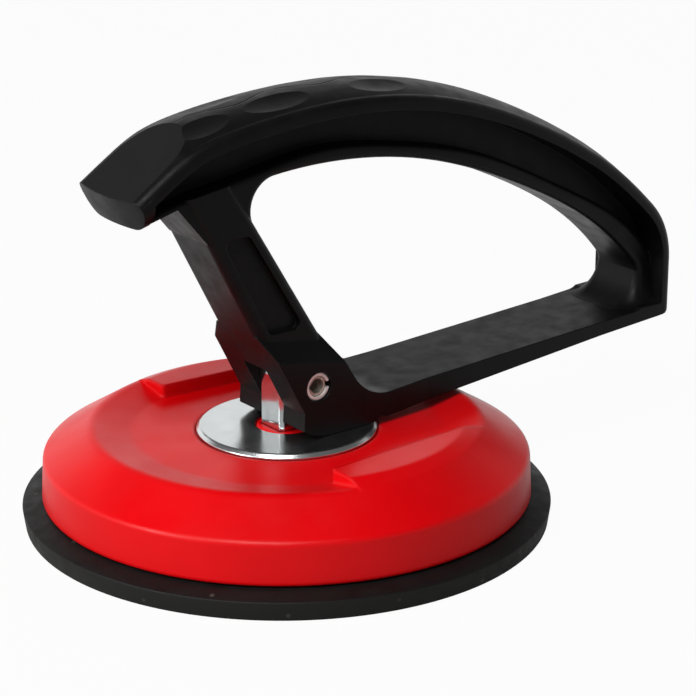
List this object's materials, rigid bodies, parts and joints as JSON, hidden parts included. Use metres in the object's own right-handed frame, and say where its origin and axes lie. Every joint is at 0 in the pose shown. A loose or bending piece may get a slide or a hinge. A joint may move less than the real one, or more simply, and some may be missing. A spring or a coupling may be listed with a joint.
{
  "type": "floor tile suction lifter",
  "caption": "Hand tool that grips a smooth floor tile by vacuum: round rubber pad under a moulded cover, with a D-handle lever that pulls the pad's middle up.",
  "frame": {"origin": "centre of the pad's flat sealing face, on the floor tile", "axes": "+Z away from the tile along the post, +X toward the lever's long end, hinge pin along Y; drawn with the lever down and the vacuum on"},
  "size_m": [0.1702, 0.1198, 0.0985],
  "materials": {
    "pad_rubber": "matt black moulded rubber",
    "cover_plastic": "saturated red moulded plastic, satin to gloss",
    "disc_steel": "bright zinc plated steel",
    "post_steel": "zinc plated steel bar",
    "plate_steel": "plain pressed steel",
    "pin_steel": "rolled spring steel",
    "handle_plastic": "black glass-filled nylon, fine moulded texture"
  },
  "bodies": {
    "base": {"rubber_pad": "pad_rubber", "pad_diaphragm": "pad_rubber", "cover": "cover_plastic", "wear_disc": "disc_steel"},
    "post": {"lifting_post": "post_steel", "insert_plate": "plate_steel"},
    "handle": {"handle_frame": "handle_plastic", "hinge_pin": "pin_steel", "inner_pin": "pin_steel"}
  },
  "joints": [
    {"name": "post_lift", "type": "slide", "parent": "base", "child": "post", "axis": [0, 0, 1], "range_m": [-0.0027, 0], "deforming": ["pad_diaphragm"]},
    {"name": "handle_swing", "type": "hinge", "parent": "post", "child": "handle", "pos_m": [0, 0, 0.0333], "axis": [0, 1, 0], "range_deg": [-60, 0]}
  ],
  "couplings": [
    {"joint": "post_lift", "follows": "handle_swing", "m_per_rad": 0.002578}
  ]
}
